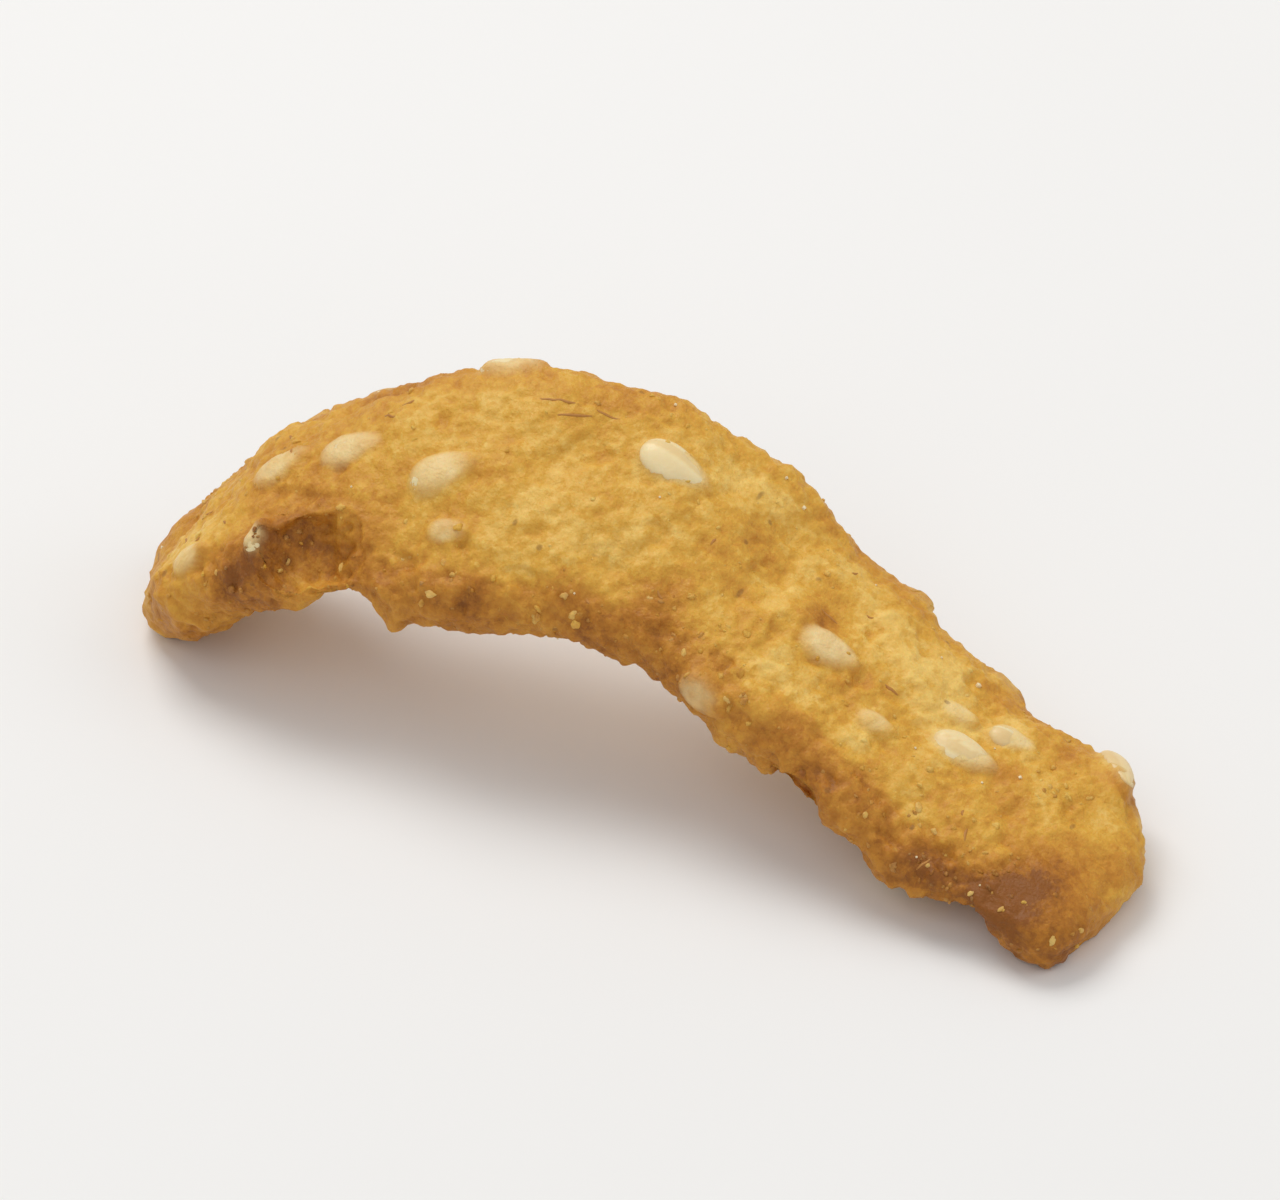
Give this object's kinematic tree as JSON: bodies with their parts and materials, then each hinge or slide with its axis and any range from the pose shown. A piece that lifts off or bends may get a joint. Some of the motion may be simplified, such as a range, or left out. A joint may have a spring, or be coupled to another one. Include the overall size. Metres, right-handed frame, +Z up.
{
  "type": "sesame stick",
  "caption": "Fried dough snack stick: a flat ribbon, bowed up in the middle and bent to one side, with sesame seeds set in its skin.",
  "frame": {"origin": "on the surface it rests on, under the middle of its bounding box", "axes": "+X along the stick, from the end that rises steeply to the end that slopes gently; +Z up; -Y to the side that its face tilts towards"},
  "size_m": [0.0428, 0.0138, 0.0124],
  "materials": {
    "dough": "fried golden dough, slightly oily, with paler seeds"
  },
  "bodies": {
    "root": {"stick": "dough"}
  },
  "joints": []
}
